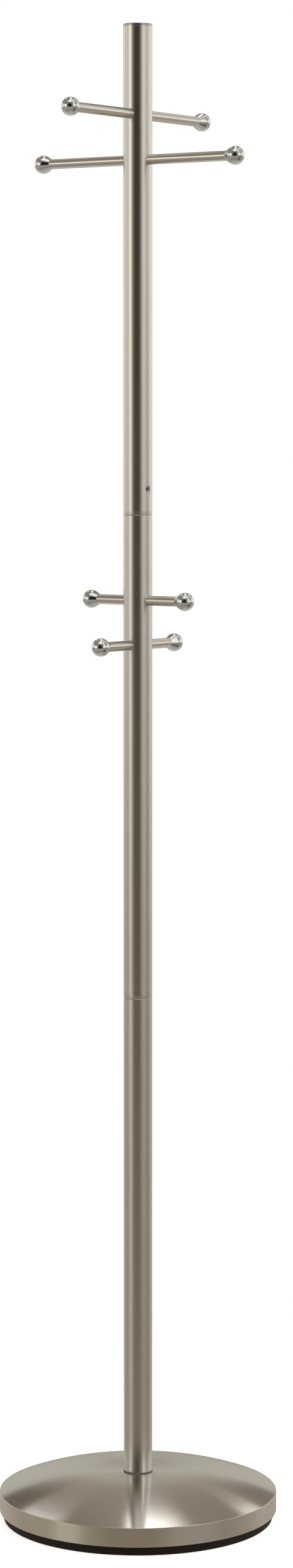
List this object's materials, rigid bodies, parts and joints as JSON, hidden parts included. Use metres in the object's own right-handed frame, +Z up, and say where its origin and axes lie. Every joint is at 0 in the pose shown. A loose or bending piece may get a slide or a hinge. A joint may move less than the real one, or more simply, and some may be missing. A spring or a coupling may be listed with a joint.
{
  "type": "coat rack",
  "caption": "Free-standing coat rack: a satin steel pole in plug-together lengths on a weighted round base, with crossed rods ending in ball knobs.",
  "frame": {"origin": "on the floor, at the middle of the round base, on the pole's axis", "axes": "+Z up along the pole; +X along the lower of the two long rods; +Y along the higher long rod"},
  "size_m": [0.343, 0.343, 1.83],
  "materials": {
    "satin_nickel": "brushed, satin nickel plate",
    "polished_chrome": "mirror polished",
    "black_rubber": "matt, slightly ribbed edge",
    "cement": "cast, rough",
    "zinc_steel": "zinc plated",
    "turned_steel": "turned, plain",
    "grey_nylon": "moulded"
  },
  "bodies": {
    "base": {"base_cover": "satin_nickel", "base_ballast": "cement", "base_bottom_plate": "zinc_steel", "floor_pad": "black_rubber", "base_bolt": "zinc_steel", "base_flat_washer": "zinc_steel", "base_spring_washer": "zinc_steel", "pole_gasket": "black_rubber", "lower_foot_plug": "turned_steel", "lower_tube": "satin_nickel", "lower_spigot": "turned_steel"},
    "middle_section": {"middle_spigot": "turned_steel", "middle_tube": "satin_nickel", "middle_bush": "turned_steel", "middle_lock_screw": "zinc_steel", "middle_rod_core": "grey_nylon", "middle_core_screws": "zinc_steel", "middle_high_rod": "satin_nickel", "middle_low_rod": "satin_nickel", "middle_high_knob_a": "polished_chrome", "middle_high_knob_b": "polished_chrome", "middle_low_knob_a": "polished_chrome", "middle_low_knob_b": "polished_chrome", "middle_knob_studs": "zinc_steel"},
    "upper_section": {"top_cap": "satin_nickel", "upper_tube": "satin_nickel", "upper_bush": "turned_steel", "upper_lock_screw": "zinc_steel", "upper_rod_core": "grey_nylon", "upper_core_screws": "zinc_steel", "upper_high_rod": "satin_nickel", "upper_low_rod": "satin_nickel", "upper_high_knob_a": "polished_chrome", "upper_high_knob_b": "polished_chrome", "upper_low_knob_a": "polished_chrome", "upper_low_knob_b": "polished_chrome", "upper_knob_studs": "zinc_steel"}
  },
  "joints": [
    {"name": "middle_swivel", "type": "hinge", "parent": "base", "child": "middle_section", "pos_m": [0, 0, 0.6521], "axis": [0, 0, 1], "continuous": true},
    {"name": "upper_swivel", "type": "hinge", "parent": "middle_section", "child": "upper_section", "pos_m": [0, 0, 1.2432], "axis": [0, 0, 1], "continuous": true}
  ]
}
